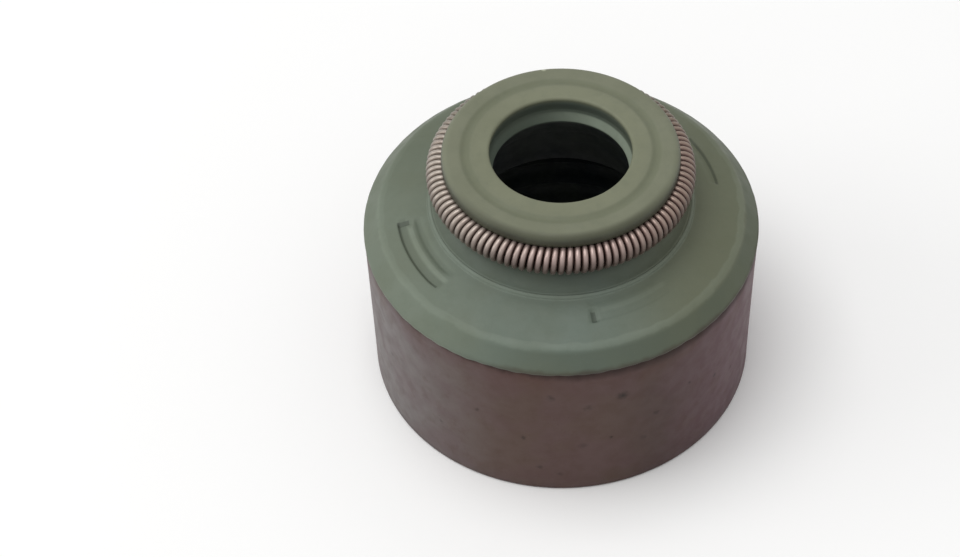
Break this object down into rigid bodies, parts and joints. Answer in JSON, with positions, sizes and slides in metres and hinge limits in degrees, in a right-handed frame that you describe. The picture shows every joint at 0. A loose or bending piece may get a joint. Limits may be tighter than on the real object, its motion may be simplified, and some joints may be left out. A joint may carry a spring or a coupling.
{
  "type": "valve stem seal",
  "caption": "Round valve stem seal: rubber with a sealing lip, moulded on a pressed steel case, and a garter spring round its nose.",
  "frame": {"origin": "middle of the case's lower rim, on the surface that the seal stands on", "axes": "+Z along the stem's axis, from the guide socket to the nose; the seal is round, so X and Y are alike"},
  "size_m": [0.016, 0.016, 0.0117],
  "materials": {
    "brown_steel": "satin, reddish brown bonding coat",
    "green_rubber": "satin",
    "spring_wire": "satin, phosphated"
  },
  "bodies": {
    "root": {"metal_case": "brown_steel", "rubber_body": "green_rubber", "garter_spring": "spring_wire"}
  },
  "joints": []
}
